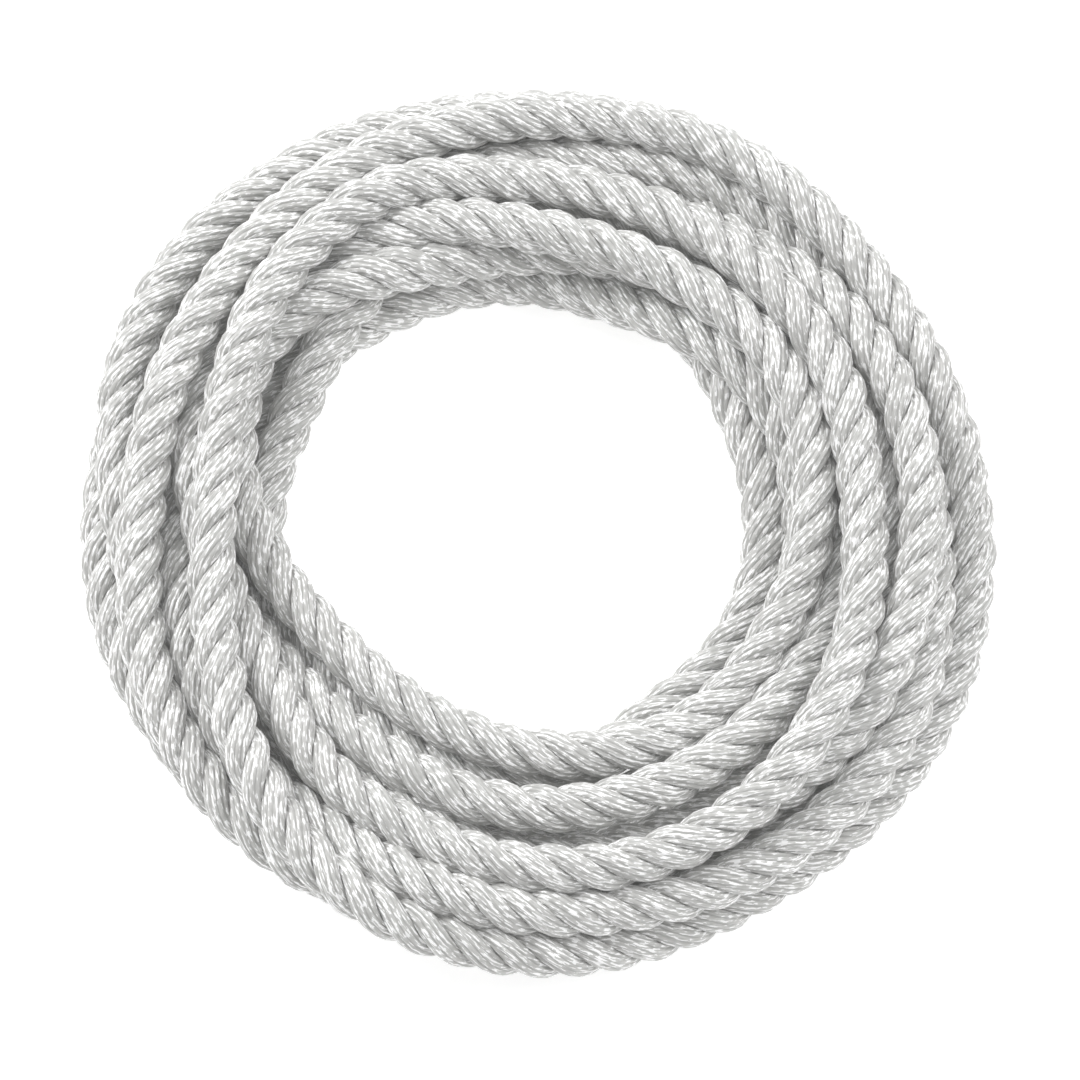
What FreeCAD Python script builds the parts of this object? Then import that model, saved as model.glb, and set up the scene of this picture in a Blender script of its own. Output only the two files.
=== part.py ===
import FreeCAD, Part
import math
import os
import Sketcher

# A 3/8 in three-strand nylon dock line, wound into a loose round coil that lies flat.
# +Z is up, Z = 0 is the surface that the coil lies on, and the Z axis goes up through its middle.
# Clock angles run clockwise from +Y, seen from above. Lengths are in millimetres.

# ---------------------------------------------------------------- driving dimensions

DIMENSIONS = {
    "rope_diameter": 9.525,
    "inner_end_radius": 67.0,
    "outer_end_radius": 72.0,
    "end_height": 5.6,       # height of both ends' centre line
    "stub_length": 21.0,     # straight rope at an end, from its root to the melted tip
    "stub_root": 4.0,        # part of that length that is inside the coil
    "whipping_start": 6.0,   # distance from the root to the first turn of twine
    "whipping_length": 12.0,
    "whipping_wall": 0.6,
    "tip_length": 3.2,
    "tip_rounding": 1.4,
    "notch_clearance": 1.4,  # room left round an end by the notch that it lies in
    "notch_reach": 25.0,     # how far a notch runs from the end's centre line out of the coil's side
}

# The coil isn't quite round: its outer and inner radius every 30 degrees, clockwise from +Y.
SIDE_RADII = {
    "outer": (93.0, 95.0, 90.0, 91.0, 92.0, 91.0, 94.0, 90.0, 89.0, 91.0, 96.0, 96.0),
    "inner": (50.0, 47.0, 43.0, 41.0, 40.0, 38.0, 41.0, 40.0, 43.0, 50.0, 50.0, 52.0),
}

# The pile's section, from the floor up: each level's height, and how far it stands in there from
# the widest outline, on the outer and the inner side alike.
LEVELS = {
    "foot": (0.0, 2.5),
    "flank": (5.0, 0.0),
    "shoulder": (16.0, 0.0),
    "brow": (25.0, 3.5),
    "crown": (30.0, 10.0),
}

# Clock angle of each end's root, and the way it points: clockwise (1) or back (-1).
ENDS = {"inner": (350.0, -1), "outer": (59.5, 1)}

doc = FreeCAD.newDocument("coiled_dock_line")
sheet = doc.addObject("Spreadsheet::Sheet", "dimensions")


def fill_sheet():
    """One row for each driving dimension: its name, and its value under an alias."""
    values = dict(DIMENSIONS)
    for side, radii in SIDE_RADII.items():
        values.update({f"{side}_radius_{station}": radius for station, radius in enumerate(radii)})
    for level, (height, inset) in LEVELS.items():
        values[f"{level}_height"] = height
        values[f"{level}_inset"] = inset
    for row, (alias, value) in enumerate(values.items(), start=1):
        sheet.set(f"A{row}", alias)
        sheet.set(f"B{row}", str(value))
        sheet.setAlias(f"B{row}", alias)
    doc.recompute()


# ---------------------------------------------------------------- helpers

def new_body(label):
    body = doc.addObject("PartDesign::Body", label)
    body.Label = label
    return body


def new_sketch(body, name):
    """A sketch on the body's own XY plane."""
    sketch = body.newObject("Sketcher::SketchObject", name)
    plane = next(item for item in body.Origin.OriginFeatures if item.Role == "XY_Plane")
    sketch.AttachmentSupport = [(plane, "")]
    sketch.MapMode = "FlatFace"
    return sketch


def constrain(sketch, name, kind, arguments, start_value, expression):
    """A named dimension of the sketch that follows an expression over the sheet."""
    index = sketch.addConstraint(Sketcher.Constraint(kind, *arguments, start_value))
    sketch.renameConstraint(index, name)
    sketch.setExpression(f"Constraints.{name}", expression)


def add_circle(sketch, name, expression):
    circle = sketch.addGeometry(Part.Circle(FreeCAD.Vector(), FreeCAD.Vector(0, 0, 1), 1.0))
    sketch.addConstraint(Sketcher.Constraint("Coincident", circle, 3, -1, 1))
    constrain(sketch, name, "Radius", (circle,), 1.0, expression)


def end_placement(end, distance, aside=0.0, above=0.0):
    """A frame on the rope's end: +Z runs along it, +Y is up and +X is the coil's open side."""
    clock, way = ENDS[end]
    radius = sheet.get(f"{end}_end_radius")
    angle = math.radians(clock)
    outward = FreeCAD.Vector(math.sin(angle), math.cos(angle), 0)
    up = FreeCAD.Vector(0, 0, 1)
    open_side = outward * way
    along = open_side.cross(up)
    root = outward * radius + up * sheet.end_height
    return FreeCAD.Placement(root + along * distance + open_side * aside + up * above,
                             FreeCAD.Rotation(open_side, up, along, "ZYX"))


# ---------------------------------------------------------------- the coil

def add_side(sketch, side, level):
    """A smooth closed curve round the pile at one level: a cubic spline, one pole for each radius."""
    inset = ("-" if side == "outer" else "+") + f" dimensions.{level}_inset"
    count = len(SIDE_RADII[side])
    spread = (2 + math.cos(math.tau / count)) / 3    # the curve's radius over its poles' radius
    places = []
    for station, radius in enumerate(SIDE_RADII[side]):
        angle = station * math.tau / count
        places.append(FreeCAD.Vector(math.sin(angle), math.cos(angle), 0) * radius)
    curve = sketch.addGeometry(Part.BSplineCurve(places, None, None, True, 3, None, False))
    first_pole = sketch.GeometryCount
    sketch.exposeInternalGeometry(curve)
    for station, place in enumerate(places):
        centre = (-1, 1, first_pole + station, 3)
        radius = f"(dimensions.{side}_radius_{station} {inset}) / {spread}"
        angle = station * 360 / count
        constrain(sketch, f"{side}_{station}_across", "DistanceX", centre, place.x,
                  f"{radius} * sin({angle} deg)")
        constrain(sketch, f"{side}_{station}_along", "DistanceY", centre, place.y,
                  f"{radius} * cos({angle} deg)")


def add_level(body, level):
    sketch = new_sketch(body, level)
    sketch.setExpression("AttachmentOffset.Base.z", f"dimensions.{level}_height")
    for side in SIDE_RADII:
        add_side(sketch, side, level)
    return sketch


def add_notch(body, end):
    """Cuts away the coil round an end, open below and towards the nearer side."""
    half = "dimensions.rope_diameter / 2 + dimensions.whipping_wall + dimensions.notch_clearance"
    notch = body.newObject("PartDesign::SubtractiveBox", f"{end}_end_notch")
    notch.setExpression("Length", f"{half} + dimensions.notch_reach")
    notch.setExpression("Width", f"{half} + dimensions.end_height + dimensions.notch_clearance")
    notch.setExpression("Height", "dimensions.stub_length - dimensions.stub_root"
                                  " + dimensions.tip_length + dimensions.notch_clearance")
    inward = sheet.rope_diameter / 2 + sheet.whipping_wall + sheet.notch_clearance
    notch.Placement = end_placement(end, sheet.stub_root, aside=-inward,
                                    above=-sheet.end_height - sheet.notch_clearance)
    doc.recompute()


def add_stub(body, end):
    """The last straight piece of the rope, from inside the coil out into the notch."""
    stub = body.newObject("PartDesign::AdditiveCylinder", f"{end}_end_stub")
    stub.setExpression("Radius", "dimensions.rope_diameter / 2")
    stub.setExpression("Height", "dimensions.stub_length")
    stub.Placement = end_placement(end, 0)
    doc.recompute()


def make_rope_coil():
    """The pile of turns: flat below where it lies, with sloping shoulders round its crown."""
    body = new_body("rope_coil")
    outlines = [add_level(body, level) for level in LEVELS]
    doc.recompute()
    pile = body.newObject("PartDesign::AdditiveLoft", "pile")
    pile.Profile = outlines[0]
    pile.Sections = outlines[1:]
    pile.Ruled = True
    doc.recompute()
    for end in ENDS:
        whole = body.Shape.Volume
        add_notch(body, end)
        notched = body.Shape.Volume
        add_stub(body, end)
        if not notched < body.Shape.Volume < whole:
            raise RuntimeError(f"{end} end: the notch or the stub has no effect")
    return body


# ---------------------------------------------------------------- what dresses the two ends

def make_whipping(end):
    """Waxed twine wound tightly round the rope just short of its end."""
    body = new_body(f"{end}_end_whipping")
    sketch = new_sketch(body, f"{end}_whipping_section")
    add_circle(sketch, "bore", "dimensions.rope_diameter / 2")
    add_circle(sketch, "outside", "dimensions.rope_diameter / 2 + dimensions.whipping_wall")
    pad = body.newObject("PartDesign::Pad", f"{end}_whipping_turns")
    pad.Profile = sketch
    pad.setExpression("Length", "dimensions.whipping_length")
    body.Placement = end_placement(end, sheet.whipping_start)
    doc.recompute()
    return body


def make_tip(end):
    """The strands' ends, melted together into one hard button."""
    body = new_body(f"{end}_end_melted_tip")
    sketch = new_sketch(body, f"{end}_tip_section")
    add_circle(sketch, "outside", "dimensions.rope_diameter / 2")
    pad = body.newObject("PartDesign::Pad", f"{end}_tip_button")
    pad.Profile = sketch
    pad.setExpression("Length", "dimensions.tip_length")
    doc.recompute()
    rim = [f"Edge{number}" for number, edge in enumerate(pad.Shape.Edges, start=1)
           if abs(edge.BoundBox.ZMin - sheet.tip_length) < 1e-6]
    rounding = body.newObject("PartDesign::Fillet", f"{end}_tip_rounding")
    rounding.Base = (pad, rim)
    rounding.setExpression("Radius", "dimensions.tip_rounding")
    body.Placement = end_placement(end, sheet.stub_length)
    doc.recompute()
    return body


# ---------------------------------------------------------------- check and export

def check(bodies):
    doc.recompute()
    for item in doc.Objects:
        if "Invalid" in item.State or "Error" in item.State:
            raise RuntimeError(f"{item.Label}: {item.State}")
    for body in bodies:
        if body.Shape.isNull() or not body.Shape.isValid():
            raise RuntimeError(f"{body.Label} has no valid shape")


def main():
    fill_sheet()
    bodies = [make_rope_coil()]
    for end in ENDS:
        bodies += [make_whipping(end), make_tip(end)]
    check(bodies)
    os.makedirs("parts", exist_ok=True)
    for body in bodies:
        body.Shape.exportStep(f"parts/{body.Label}.step")
        box = body.Shape.BoundBox
        print(f"{body.Label}: {len(body.Shape.Solids)} solid, {body.Shape.Volume:.0f} mm3, "
              f"x {box.XMin:.1f} {box.XMax:.1f}  y {box.YMin:.1f} {box.YMax:.1f}  "
              f"z {box.ZMin:.2f} {box.ZMax:.2f}")


main()
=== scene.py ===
import math

import bpy
import numpy as np
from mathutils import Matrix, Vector


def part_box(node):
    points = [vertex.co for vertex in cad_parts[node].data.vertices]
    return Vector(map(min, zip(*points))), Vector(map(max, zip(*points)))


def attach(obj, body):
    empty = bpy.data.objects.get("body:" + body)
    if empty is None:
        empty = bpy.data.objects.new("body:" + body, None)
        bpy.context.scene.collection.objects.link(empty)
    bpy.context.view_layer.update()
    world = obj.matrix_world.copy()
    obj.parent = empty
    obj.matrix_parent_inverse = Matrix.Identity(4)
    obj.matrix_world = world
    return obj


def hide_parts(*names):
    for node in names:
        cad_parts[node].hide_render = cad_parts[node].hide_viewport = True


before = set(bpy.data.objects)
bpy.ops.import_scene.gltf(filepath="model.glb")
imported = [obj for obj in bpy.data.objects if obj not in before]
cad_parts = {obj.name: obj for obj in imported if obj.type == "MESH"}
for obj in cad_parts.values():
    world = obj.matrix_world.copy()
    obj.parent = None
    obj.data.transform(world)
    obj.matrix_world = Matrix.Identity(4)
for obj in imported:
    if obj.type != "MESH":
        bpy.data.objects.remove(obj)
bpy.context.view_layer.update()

# A 3/8 in three-strand nylon dock line that was thrown down as a loose round coil.
# Metres, +Z up, the floor at Z = 0. Clock angles run clockwise from +Y, seen from above.

coil_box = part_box("rope_coil")

# ---------------------------------------------------------------- the rope's own measures, in metres

ROPE_DIAMETER = 0.009525
ROPE_LENGTH = 4.572
ROPE_LAY = 0.0238          # length of rope in one turn of its strands
STRAND_RADIUS = 0.27 * ROPE_DIAMETER
STRAND_OFFSET = 0.25 * ROPE_DIAMETER     # from the rope's centre line to a strand's
YARNS = 12                 # yarns that show round a strand
YARN_PITCH = 0.043         # length of strand in one turn of its yarns, against the strand's own twist
YARN_DEPTH = 0.00022       # how deep the grooves between the yarns are
YARN_WANDER = 0.00004      # how far a yarn rises and falls along the strand
RING_SPACING = 0.00165     # between a strand's rings of points
WHIPPING_START = 0.0062    # from the rope's end to the nearest turn of twine
WHIPPING_LENGTH = 0.012
TWINE_DIAMETER = 0.0009
TIP_LENGTH = 0.0032
TIP_RADIUS = 0.55 * ROPE_DIAMETER

# ---------------------------------------------------------------- where the rope lies

# For each turn, every 30 degrees of the clock from +Y: how far the rope's centre line runs from the
# coil's middle, and how high over the floor, in rope diameters. A height of 0.5 is on the floor. The rope
# starts at the last place of the first turn, low under the pile, and stops in the last turn. About two
# thirds of the heights and a quarter of the radii are what a separate relaxation of the turns came to.
TURNS = [
    ((7.4,),
     (0.65,)),
    ((6.7, 5.8, 5.0, 4.8, 4.7, 4.6, 5.5, 5.5, 5.5, 5.9, 5.7, 6.6),
     (0.65, 0.5, 0.5, 0.5, 0.5, 0.6, 0.9, 1.1, 0.8, 0.7, 1.3, 1.2)),
    ((7.1, 7.0, 7.3, 7.4, 7.4, 7.1, 7.3, 7.0, 7.0, 8.0, 8.2, 8.3),
     (1.3, 0.9, 1.4, 1.8, 1.6, 1.0, 0.8, 1.3, 0.6, 0.5, 0.5, 0.5)),
    ((8.1, 7.6, 7.9, 8.05, 7.95, 7.6, 8.1, 8.95, 8.95, 8.25, 8.2, 8.65),
     (0.6, 1.5, 2.2, 2.2, 1.8, 1.4, 1.3, 1.3, 1.7, 2.2, 2.2, 2.2)),
    ((8.9, 8.95, 8.6, 9.0, 9.2, 9.0, 9.5, 9.05, 7.55, 6.7, 7.1, 7.8),
     (2.2, 2.2, 1.8, 1.0, 0.5, 0.6, 1.3, 2.3, 2.5, 2.7, 2.7, 2.4)),
    ((7.35, 7.1, 7.0, 6.75, 7.4, 8.0, 8.0, 7.5, 6.55, 7.1, 7.85, 8.0),
     (2.3, 2.3, 2.4, 2.3, 2.4, 2.4, 2.3, 2.1, 1.8, 1.9, 1.7, 1.4)),
    ((8.1, 8.3, 8.15, 8.15, 8.8, 8.9, 8.7, 8.3, 8.0, 7.6, 7.3, 7.2),
     (1.5, 1.5, 1.2, 1.3, 1.4, 1.7, 1.8, 1.8, 1.6, 1.2, 0.9, 2.0)),
    ((6.15, 5.95, 6.1, 5.75, 5.55, 5.45, 5.15, 4.9, 5.0, 6.05, 7.2, 6.35),
     (2.4, 2.3, 2.1, 2.0, 1.6, 1.4, 1.6, 1.7, 1.5, 1.5, 1.8, 1.8)),
    ((6.1, 6.3, 6.6, 6.5, 6.45, 6.5, 6.5, 6.2, 6.1, 6.8, 6.4, 6.05),
     (1.5, 1.4, 1.3, 1.3, 1.5, 2.0, 2.0, 1.7, 1.1, 0.6, 0.5, 0.5)),
    ((5.75, 5.35, 5.8, 5.6, 5.7, 5.9, 6.35, 7.4, 7.9, 8.65, 9.55, 9.5),
     (0.6, 1.3, 1.2, 0.9, 0.5, 0.5, 0.5, 0.5, 0.6, 1.3, 1.4, 1.4)),
    ((9.2, 9.4, 8.7, 8.3, 8.3, 8.1, 8.7, 8.7, 8.75, 9.1, 9.1, 9.2),
     (1.4, 1.1, 0.6, 0.5, 0.5, 0.5, 0.5, 0.5, 0.5, 0.5, 0.5, 0.5)),
    ((9.0, 8.6, 7.8, 7.6, 7.5),
     (0.5, 0.65, 0.65, 0.65, 0.65)),
]
PLACES = 12                # places of the table in one turn
STATIONS = 72              # points of the rope's line in one turn
FLOOR = 0.535              # the centre line's lowest height, in diameters
WHIPPED_FLOOR = 0.6        # the same at the rope's ends, which are thicker by their whippings
FIRST_WHIPPED = 5          # stations that lie on the whipped floor, from the inner end
LAST_WHIPPED = 14          # and to the outer end
TOUCHING = 0.94            # centre lines nearer to each other than this, in diameters, are pushed apart


def laid_out():
    """Each station's clock angle, and the centre line's radius and height there, as laid, in diameters."""
    radii = np.array([radius for turn in TURNS for radius in turn[0]])
    heights = np.array([height for turn in TURNS for height in turn[1]])
    first = PLACES - len(TURNS[0][0])
    per_place = STATIONS // PLACES
    count = (len(radii) - 1) * per_place + 1
    at = np.arange(count) / per_place
    place = np.minimum(at.astype(int), len(radii) - 2)
    part = at - place

    def smooth(values):
        slope = np.gradient(values)
        rise = values[place + 1] - values[place]
        a = slope[place]
        b = slope[place + 1]
        return (values[place] + part * a + part ** 2 * (3 * rise - 2 * a - b)
                + part ** 3 * (a + b - 2 * rise))

    clock = (first + at) * math.tau / PLACES
    return clock, smooth(radii), smooth(heights)


def settled(clock, radius, height):
    """The line after the turns have been let down on each other, and pushed apart where they overlap."""
    rounds = 700
    give = 0.35            # the part of an overlap that each rope gives way by in one round
    hold_radius = 0.1      # how firmly a station is kept where it was laid
    hold_height = 0.03
    sinking = 0.001        # diameters in one round
    stiffness = 0.35       # the part of a kink that is straightened
    step = math.tau / STATIONS
    count = len(clock)
    lower = np.concatenate([np.arange(count - gap) for gap in range(STATIONS, count, STATIONS)])
    upper = np.concatenate([np.arange(gap, count) for gap in range(STATIONS, count, STATIONS)])
    floor = np.full(count, FLOOR)
    floor[:FIRST_WHIPPED] = WHIPPED_FLOOR
    floor[-LAST_WHIPPED:] = WHIPPED_FLOOR
    laid_radius = radius.copy()
    laid_height = height.copy()
    for _ in range(rounds):
        slope_r = np.gradient(radius) / (radius * step)
        slope_z = np.gradient(height) / (radius * step)
        mean_r = (slope_r[lower] + slope_r[upper]) / 2
        mean_z = (slope_z[lower] + slope_z[upper]) / 2
        apart_r = radius[upper] - radius[lower]
        apart_z = height[upper] - height[lower]
        along = (apart_r * mean_r + apart_z * mean_z) / (1 + mean_r ** 2 + mean_z ** 2)
        apart_r = apart_r - along * mean_r
        apart_z = apart_z - along * mean_z
        apart = np.sqrt(along ** 2 + apart_r ** 2 + apart_z ** 2) + 1e-9
        push = give * np.clip(TOUCHING - apart, 0, None) / apart
        for values, away in ((radius, push * apart_r), (height, push * apart_z)):
            np.add.at(values, lower, -away)
            np.add.at(values, upper, away)
        radius += hold_radius * (laid_radius - radius)
        height += hold_height * (laid_height - height) - sinking
        for values in (radius, height) * 2:
            middle = (values[:-2] + 2 * values[1:-1] + values[2:]) / 4
            values[1:-1] += stiffness * (middle - values[1:-1])
        np.maximum(height, floor, out=height)
    return radius, height


def rope_line():
    """Points read along the rope's centre line, which is one smooth NURBS spline, in metres."""
    clock, radius, height = laid_out()
    radius, height = settled(clock, radius, height)
    line = np.stack([radius * np.sin(clock), radius * np.cos(clock), height], axis=1) * ROPE_DIAMETER
    middle = (line.max(axis=0) + line.min(axis=0)) / 2
    line[:, :2] += np.array((coil_box[0] + coil_box[1]) / 2)[:2] - middle[:2]
    curve = bpy.data.curves.new("rope_line", "CURVE")
    curve.dimensions = "3D"
    curve.resolution_u = 4
    spline = curve.splines.new("NURBS")
    spline.points.add(len(line) - 1)
    spline.points.foreach_set("co", np.column_stack([line, np.ones(len(line))]).ravel())
    spline.order_u = 3
    spline.use_endpoint_u = True
    holder = bpy.data.objects.new("rope_line", curve)
    mesh = bpy.data.meshes.new_from_object(holder)
    points = np.array([vertex.co for vertex in mesh.vertices])
    bpy.data.meshes.remove(mesh)
    bpy.data.objects.remove(holder)
    bpy.data.curves.remove(curve)
    return points


def unit(vectors):
    return vectors / np.linalg.norm(vectors, axis=-1, keepdims=True)


def respaced(points, spacing, start, stop):
    """Points about that far apart along a line, between two distances along it, and those distances."""
    along = np.concatenate([[0], np.cumsum(np.linalg.norm(np.diff(points, axis=0), axis=1))])
    at = np.linspace(start, stop, int(round((stop - start) / spacing)) + 1)
    return np.stack([np.interp(at, along, points[:, k]) for k in range(3)], axis=1), at


def frames(points):
    """The line's direction, its level side and its upper side at each point."""
    forward = unit(np.gradient(points, axis=0))
    side = unit(np.cross((0.0, 0.0, 1.0), forward))
    return forward, side, np.cross(forward, side)


# ---------------------------------------------------------------- meshes

def add_mesh(name, vertices, faces, uvs, material):
    mesh = bpy.data.meshes.new(name)
    mesh.vertices.add(len(vertices))
    mesh.vertices.foreach_set("co", vertices.ravel())
    corners = np.concatenate([np.ravel(group) for group in faces])
    totals = np.concatenate([np.full(len(group), group.shape[1]) for group in faces])
    mesh.loops.add(len(corners))
    mesh.loops.foreach_set("vertex_index", corners.astype(np.int32))
    mesh.polygons.add(len(totals))
    starts = np.concatenate([[0], np.cumsum(totals)[:-1]])
    mesh.polygons.foreach_set("loop_start", starts.astype(np.int32))
    mesh.update(calc_edges=True)
    layer = mesh.uv_layers.new(name="lay")
    layer.data.foreach_set("uv", np.concatenate([group.reshape(-1) for group in uvs]))
    mesh.polygons.foreach_set("use_smooth", np.ones(len(totals), bool))
    mesh.validate()
    piece = bpy.data.objects.new(name, mesh)
    bpy.context.scene.collection.objects.link(piece)
    mesh.materials.append(material)
    return piece


def tube(name, rings, along, material):
    """A closed tube over rings of points. Its UV map runs along it in centimetres and once round it."""
    count, around = rings.shape[:2]
    i = np.arange(count - 1)[:, None]
    j = np.arange(around)[None, :]
    k = (j + 1) % around
    walls = np.stack([i * around + j, i * around + k, (i + 1) * around + k, (i + 1) * around + j],
                     axis=-1).reshape(-1, 4)
    u = np.broadcast_to(along[:, None] * 100, (count, around + 1))
    v = np.broadcast_to(np.arange(around + 1)[None, :] / around, (count, around + 1))
    grid = np.stack([u, v], axis=-1)
    wall_uvs = np.stack([grid[:-1, :-1], grid[:-1, 1:], grid[1:, 1:], grid[1:, :-1]], axis=2)
    centres = np.stack([rings[0].mean(axis=0), rings[-1].mean(axis=0)])
    vertices = np.concatenate([rings.reshape(-1, 3), centres])
    edge = np.arange(around)
    following = (edge + 1) % around
    start = np.stack([following, edge, np.full(around, count * around)], axis=1)
    last = (count - 1) * around
    stop = np.stack([last + edge, last + following, np.full(around, count * around + 1)], axis=1)
    caps = np.concatenate([start, stop])
    cap_uvs = np.zeros((len(caps), 3, 2))
    return add_mesh(name, vertices, [walls, caps], [wall_uvs, cap_uvs], material)


# ---------------------------------------------------------------- materials

def new_material(name):
    material = bpy.data.materials.new(name)
    material.use_nodes = True
    nodes = material.node_tree.nodes
    return material, nodes, material.node_tree.links, nodes["Principled BSDF"]


def node(nodes, kind, **values):
    """A new node; a value's name is a property's, or an input's by number as in_0."""
    made = nodes.new(kind)
    for name, value in values.items():
        if name.startswith("in_"):
            made.inputs[int(name[3:])].default_value = value
        else:
            setattr(made, name, value)
    return made


def ramp(nodes, *stops):
    made = nodes.new("ShaderNodeValToRGB")
    points = made.color_ramp.elements
    while len(points) < len(stops):
        points.new(0.5)
    for point, (place, colour) in zip(points, stops):
        point.position = place
        point.color = (*colour, 1.0)
    return made


def nylon_material(name, seed):
    """White multifilament nylon: painted highlights as white, glossy dashes along each yarn and duller
    grey filaments between, with painted shade in the grooves between the yarns and a faint painted glow
    all over.
    """
    material, nodes, links, shader = new_material(name)
    place = node(nodes, "ShaderNodeUVMap", uv_map="lay")
    split = nodes.new("ShaderNodeSeparateXYZ")
    links.new(place.outputs[0], split.inputs[0])

    def maths(operation, first, *others):
        """A Math node fed by a socket, and then by numbers or sockets."""
        made = node(nodes, "ShaderNodeMath", operation=operation)
        links.new(first, made.inputs[0])
        for number, other in enumerate(others, start=1):
            if isinstance(other, (int, float)):
                made.inputs[number].default_value = other
            else:
                links.new(other, made.inputs[number])
        return made.outputs[0]

    def lined(along, across, shear, offset):
        """Noise stretched along the yarns, leaning a little across them."""
        lean = maths("MULTIPLY_ADD", split.outputs[0], shear, maths("MULTIPLY", split.outputs[1], across))
        joined = node(nodes, "ShaderNodeCombineXYZ", in_2=seed * 7.0 + offset)
        links.new(maths("MULTIPLY", split.outputs[0], along), joined.inputs[0])
        links.new(lean, joined.inputs[1])
        noise = node(nodes, "ShaderNodeTexNoise", in_2=1.0, in_3=1.5, in_4=0.5)
        links.new(joined.outputs[0], noise.inputs[0])
        return noise.outputs[0]

    streaks = lined(5.8, 36.0, 3.0, 0.0)
    fine = lined(5.0, 90.0, 9.0, 3.0)
    patches = lined(1.2, 4.0, 0.0, 5.0)
    yarn = maths("ABSOLUTE", maths("SINE", maths("MULTIPLY", split.outputs[1], math.pi * YARNS)))
    yarn = maths("POWER", yarn, 0.6)

    # Painted highlights: where this mask is high the base colour turns white, in dashes along the yarns
    # and a little on each yarn's crown; the same mask also lowers the roughness there.
    glints_and_gloss = maths("MULTIPLY_ADD", yarn, 0.09, streaks)
    glints_and_gloss = maths("MULTIPLY_ADD", patches, 0.22, glints_and_gloss)
    # Grey nylon up to 0.73, then white: the white is the painted highlight.
    tone = ramp(nodes, (0.56, (0.47, 0.47, 0.455)), (0.73, (0.59, 0.59, 0.575)), (0.742, (1.0, 1.0, 1.0)))
    links.new(glints_and_gloss, tone.inputs[0])
    # Painted shade: the base colour is darkened in the grooves between the yarns, down to 0.86, and varied
    # at random in patches.
    groove_shade = node(nodes, "ShaderNodeMapRange", in_1=0.0, in_2=0.7, in_3=0.86, in_4=1.0)
    links.new(yarn, groove_shade.inputs[0])
    tint = node(nodes, "ShaderNodeMapRange", in_1=0.3, in_2=0.7, in_3=0.9, in_4=1.04)
    links.new(patches, tint.inputs[0])
    shade = maths("MULTIPLY", groove_shade.outputs[0], tint.outputs[0])
    colour = node(nodes, "ShaderNodeMixRGB", blend_type="MULTIPLY", in_0=1.0)
    links.new(tone.outputs[0], colour.inputs[1])
    links.new(shade, colour.inputs[2])
    links.new(colour.outputs[0], shader.inputs["Base Color"])

    gloss = node(nodes, "ShaderNodeMapRange", in_1=0.67, in_2=0.75, in_3=0.42, in_4=0.16)
    links.new(glints_and_gloss, gloss.inputs[0])
    links.new(gloss.outputs[0], shader.inputs["Roughness"])

    height = maths("MULTIPLY_ADD", fine, 0.35, maths("MULTIPLY_ADD", streaks, 0.5, yarn))
    bump = node(nodes, "ShaderNodeBump", in_0=0.75, in_1=0.00028)
    links.new(height, bump.inputs["Height"])
    links.new(bump.outputs[0], shader.inputs["Normal"])
    shader.inputs["Specular IOR Level"].default_value = 0.75
    shader.inputs["Emission Strength"].default_value = 0.028    # a faint painted glow over the whole rope that lifts its shade, standing in for light coming through the filaments
    shader.inputs["Sheen Weight"].default_value = 0.12
    shader.inputs["Sheen Roughness"].default_value = 0.4
    return material


def twine_material():
    """Waxed white twine, a little warmer and duller than the rope."""
    material, nodes, links, shader = new_material("waxed_twine")
    place = node(nodes, "ShaderNodeUVMap", uv_map="lay")
    spread = node(nodes, "ShaderNodeMapping", in_3=(22.0, 5.0, 1.0))
    links.new(place.outputs[0], spread.inputs[0])
    fibres = node(nodes, "ShaderNodeTexNoise", in_2=1.0, in_3=2.0)
    links.new(spread.outputs[0], fibres.inputs[0])
    tone = ramp(nodes, (0.35, (0.62, 0.59, 0.53)), (0.65, (0.86, 0.84, 0.79)))
    links.new(fibres.outputs[0], tone.inputs[0])
    links.new(tone.outputs[0], shader.inputs["Base Color"])
    bump = node(nodes, "ShaderNodeBump", in_0=0.5, in_1=0.00006)
    links.new(fibres.outputs[0], bump.inputs["Height"])
    links.new(bump.outputs[0], shader.inputs["Normal"])
    shader.inputs["Roughness"].default_value = 0.5
    return material


def melted_material():
    """Nylon that was melted and set again: hard, glossy and slightly yellow, darker where it scorched."""
    material, nodes, links, shader = new_material("melted_nylon")
    place = node(nodes, "ShaderNodeTexCoord")
    scorch = node(nodes, "ShaderNodeTexNoise", in_2=260.0, in_3=3.0)
    links.new(place.outputs["Object"], scorch.inputs[0])
    tone = ramp(nodes, (0.36, (0.46, 0.37, 0.24)), (0.5, (0.72, 0.67, 0.55)),
                (0.66, (0.84, 0.82, 0.75)))
    links.new(scorch.outputs[0], tone.inputs[0])
    links.new(tone.outputs[0], shader.inputs["Base Color"])
    rough = node(nodes, "ShaderNodeMapRange", in_1=0.3, in_2=0.7, in_3=0.18, in_4=0.42)
    links.new(scorch.outputs[0], rough.inputs[0])
    links.new(rough.outputs[0], shader.inputs["Roughness"])
    bump = node(nodes, "ShaderNodeBump", in_0=0.4, in_1=0.0002)
    links.new(scorch.outputs[0], bump.inputs["Height"])
    links.new(bump.outputs[0], shader.inputs["Normal"])
    return material


# ---------------------------------------------------------------- camera

def add_camera():
    """Looks down on the coil from in front, 70 degrees up, with the coil a little above the middle."""
    elevation = math.radians(70.0)
    aim = Vector((0.0002, 0.0029, 0.0))
    distance = 3.0
    view_width = 0.2166        # what the picture takes in at the aim
    data = bpy.data.cameras.new("camera")
    data.lens = 36.0 * distance / view_width
    data.sensor_width = 36.0
    data.clip_start = 0.05
    camera = bpy.data.objects.new("camera", data)
    bpy.context.scene.collection.objects.link(camera)
    camera.location = aim + Vector((0.0, -math.cos(elevation), math.sin(elevation))) * distance
    camera.rotation_euler = (math.pi / 2 - elevation, 0.0, 0.0)
    bpy.context.scene.camera = camera


# ---------------------------------------------------------------- the rope

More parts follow.
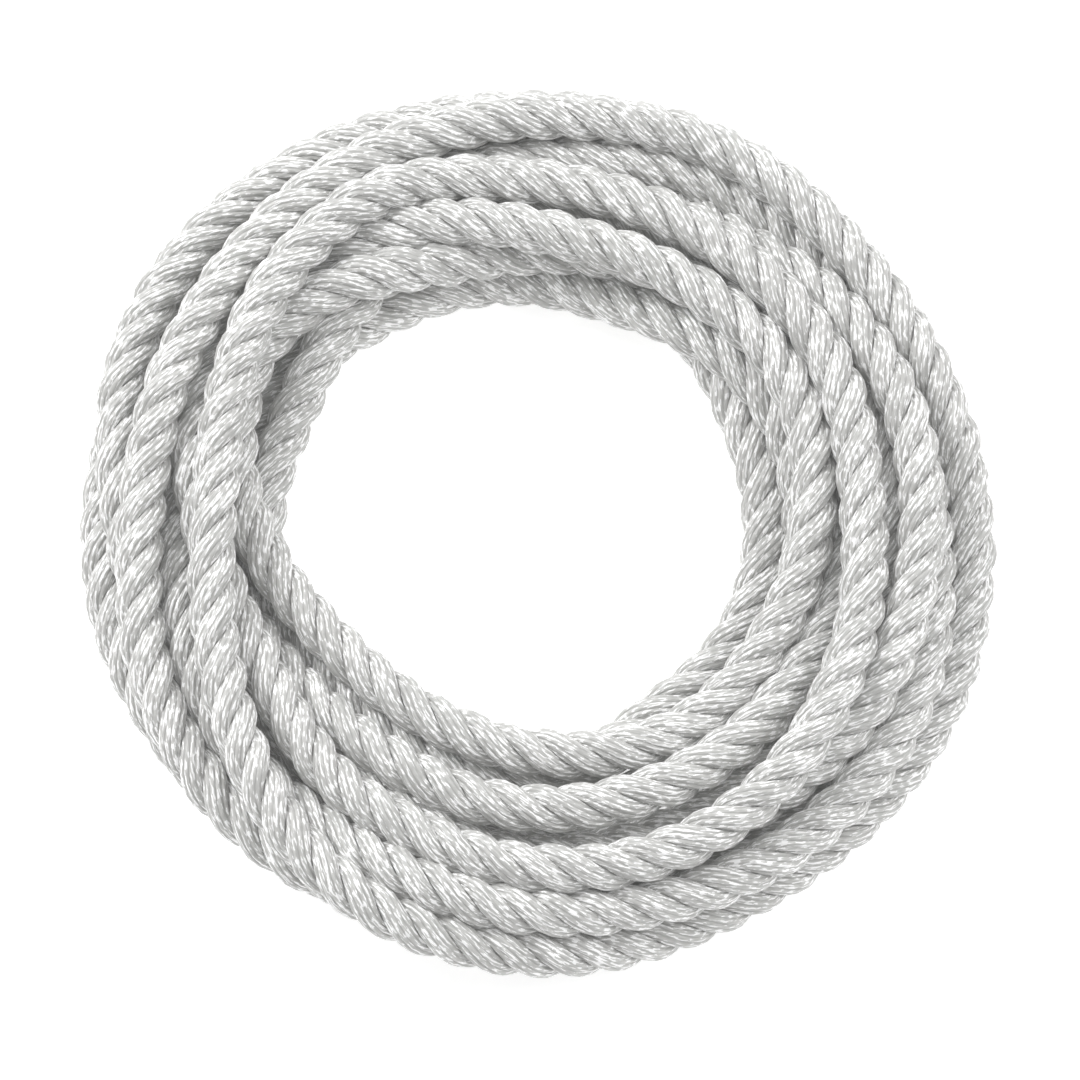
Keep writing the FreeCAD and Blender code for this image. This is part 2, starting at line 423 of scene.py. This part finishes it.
def squashed_section():
    """A strand's radius round its own line, from 0 at the rope's outside: round, but flat where it is
    pressed against its two neighbours. Returns angles and radii."""
    share = math.radians(59.0)      # a little under half of the third of the rope that a strand may fill
    angle = np.linspace(-math.pi, math.pi, 361)
    slope = math.tau * STRAND_OFFSET / ROPE_LAY
    lean_cos = 1 / math.hypot(1, slope)
    lean_sin = slope * lean_cos
    low = np.zeros_like(angle)
    high = np.full_like(angle, STRAND_RADIUS)
    for _ in range(30):
        radius = (low + high) / 2
        outward = STRAND_OFFSET + radius * np.cos(angle)
        round_it = radius * np.sin(angle) * lean_cos
        along = -radius * np.sin(angle) * lean_sin
        aside = np.arctan2(round_it, outward) - math.tau * along / ROPE_LAY
        fits = np.abs(aside) < share
        low = np.where(fits, radius, low)
        high = np.where(fits, high, radius)
    return angle, low


def strand_rings(points, at, number):
    """Rings of points round one strand, square to the strand's own line, with a lobe for each yarn, and
    how far along the strand each ring is."""
    forward, side, up = frames(points)
    turn = (math.tau * (at / ROPE_LAY + number / 3))[:, None]
    outward = side * np.cos(turn) + up * np.sin(turn)
    axis = points + outward * STRAND_OFFSET
    heading = unit(np.gradient(axis, axis=0))
    outward = unit(outward - heading * (outward * heading).sum(axis=1, keepdims=True))
    across = np.cross(heading, outward)
    own = np.concatenate([[0], np.cumsum(np.linalg.norm(np.diff(axis, axis=0), axis=1))])
    per_yarn = 3      # points: one in the groove and two on the crown
    slot = np.arange(YARNS * per_yarn)
    yarn = slot // per_yarn
    wander = np.random.default_rng(40 + number)
    lift = np.zeros((len(at), YARNS))
    for _ in range(3):
        phase = wander.uniform(0, math.tau, YARNS)
        wave = wander.uniform(0.010, 0.035, YARNS)
        lift += np.sin(own[:, None] * math.tau / wave + phase) * YARN_WANDER
    angle = slot * math.tau / len(slot) - own[:, None] * math.tau / YARN_PITCH
    section_angle, section_radius = squashed_section()
    around = (angle + math.pi) % math.tau - math.pi
    radius = np.interp(around, section_angle, section_radius)
    lobe = np.where(slot % per_yarn == 0, -YARN_DEPTH, lift[:, yarn])
    free = np.clip(radius / STRAND_RADIUS * 4 - 3, 0, 1)    # 0 where the strand is pressed flat
    radius = radius + lobe * free
    rings = (axis[:, None, :] + outward[:, None, :] * (radius * np.cos(angle))[..., None]
             + across[:, None, :] * (radius * np.sin(angle))[..., None])
    return rings, own


def make_strands(line):
    """The rope's three strands, laid up right-handed, and the ring centres that they follow."""
    centres, at = respaced(line, RING_SPACING, 0.0, ROPE_LENGTH)
    strands = []
    for number in range(3):
        # A strand's first and last rings are inside the melted tips.
        rings, own = strand_rings(centres[1:-1], at[1:-1], number)
        material = nylon_material(f"nylon_{number + 1}", number + 1)
        strands.append(tube(f"strand_{number + 1}", rings, own, material))
    return strands, centres


def make_whipping(name, end_line, material):
    """Twine wound tightly round the rope. end_line runs from the rope's end into the rope."""
    turns = round(WHIPPING_LENGTH / TWINE_DIAMETER)
    rings_per_turn = 24
    sides = 12
    stands_out = 0.00015      # how far the twine's middle is from the rope's round outline
    points, at = respaced(end_line, TWINE_DIAMETER / rings_per_turn,
                          WHIPPING_START + TWINE_DIAMETER / 2,
                          WHIPPING_START + WHIPPING_LENGTH - TWINE_DIAMETER / 2)
    _, side, up = frames(points)
    turn = ((at - at[0]) / (at[-1] - at[0]) * (turns - 1) * math.tau)[:, None]
    outward = side * np.cos(turn) + up * np.sin(turn)
    axis = points + outward * (ROPE_DIAMETER / 2 + stands_out)
    heading = unit(np.gradient(axis, axis=0))
    across = np.cross(heading, outward)
    angle = np.arange(sides) * math.tau / sides
    own = np.concatenate([[0], np.cumsum(np.linalg.norm(np.diff(axis, axis=0), axis=1))])
    rings = (axis[:, None, :] + outward[:, None, :] * np.cos(angle)[None, :, None] * TWINE_DIAMETER / 2
             + across[:, None, :] * np.sin(angle)[None, :, None] * TWINE_DIAMETER / 2)
    return tube(name, rings, own, material)


def make_tip(name, end_line, material):
    """The button where the strands' ends are melted together: a lumpy dome, a little over the rope."""
    steps = 12
    sides = 48
    dome = 0.45      # the part of its length over which it closes
    points, _ = respaced(end_line, TIP_LENGTH / steps, 0.0, TIP_LENGTH)
    _, side, up = frames(points)
    part = np.linspace(0, 1, len(points))
    angle = np.arange(sides) * math.tau / sides
    radius = TIP_RADIUS * (1 - (1 - np.clip(part / dome, 0.02, 1)) ** 2) ** 0.5
    lump = 0.035 * np.cos(3 * angle[None, :] + 2.0 * part[:, None]) + 0.015 * np.sin(7 * angle[None, :])
    reach = radius[:, None] * (1 + lump * np.clip(part * 3, 0, 1)[:, None])
    rings = (points[:, None, :] + side[:, None, :] * (reach * np.cos(angle))[..., None]
             + up[:, None, :] * (reach * np.sin(angle))[..., None])
    return tube(name, rings, part * TIP_LENGTH, material)


add_camera()
line = rope_line()
strands, centres = make_strands(line)
twine = twine_material()
melted = melted_material()
ends = {"inner": centres, "outer": centres[::-1]}
dressings = []
for end, end_line in ends.items():
    whipping = make_whipping(f"{end}_end_twine", end_line, twine)
    tip = make_tip(f"{end}_end_button", end_line, melted)
    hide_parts(f"{end}_end_whipping")
    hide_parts(f"{end}_end_melted_tip")
    dressings += [whipping, tip]
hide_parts("rope_coil")
for piece in strands + dressings:
    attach(piece, "root")

# ---------------------------------------------------------------- studio

def add_floor():
    mesh = bpy.data.meshes.new("floor")
    half = 3.0
    corners = [(-half, -half, 0), (half, -half, 0), (half, half, 0), (-half, half, 0)]
    mesh.from_pydata(corners, [], [(0, 1, 2, 3)])
    floor = bpy.data.objects.new("floor", mesh)
    bpy.context.scene.collection.objects.link(floor)
    material, nodes, links, shader = new_material("floor")
    grain = node(nodes, "ShaderNodeTexNoise", in_2=3.0)
    tone = ramp(nodes, (0.4, (0.90, 0.90, 0.90)), (0.6, (0.92, 0.92, 0.92)))
    links.new(grain.outputs[0], tone.inputs[0])
    links.new(tone.outputs[0], shader.inputs["Base Color"])
    shader.inputs["Roughness"].default_value = 0.9
    shader.inputs["Emission Color"].default_value = (1.0, 1.0, 1.0, 1.0)
    shader.inputs["Emission Strength"].default_value = 0.5
    mesh.materials.append(material)


def add_softbox(name, place, size, power):
    data = bpy.data.lights.new(name, "AREA")
    data.shape = "DISK"
    data.size = size
    data.energy = power
    light = bpy.data.objects.new(name, data)
    light.location = place
    light.rotation_euler = (-Vector(place)).to_track_quat("-Z", "Y").to_euler()
    bpy.context.scene.collection.objects.link(light)


def add_studio():
    add_floor()
    world = bpy.data.worlds.new("studio")
    world.use_nodes = True
    # The sky is brighter towards +Y.
    nodes = world.node_tree.nodes
    links = world.node_tree.links
    direction = nodes.new("ShaderNodeTexCoord")
    split = nodes.new("ShaderNodeSeparateXYZ")
    strength = node(nodes, "ShaderNodeMapRange", in_1=-1.0, in_2=1.0, in_3=0.46, in_4=1.0)
    links.new(direction.outputs["Generated"], split.inputs[0])
    links.new(split.outputs[1], strength.inputs[0])
    links.new(strength.outputs[0], nodes["Background"].inputs[1])
    nodes["Background"].inputs[0].default_value = (1.0, 1.0, 1.0, 1.0)
    bpy.context.scene.world = world
    add_softbox("key", (-0.95, 0.6, 0.95), 0.5, 12.0)
    add_softbox("fill", (0.95, 0.15, 1.0), 0.8, 5.5)
    bpy.context.scene.view_settings.view_transform = "Standard"


add_studio()
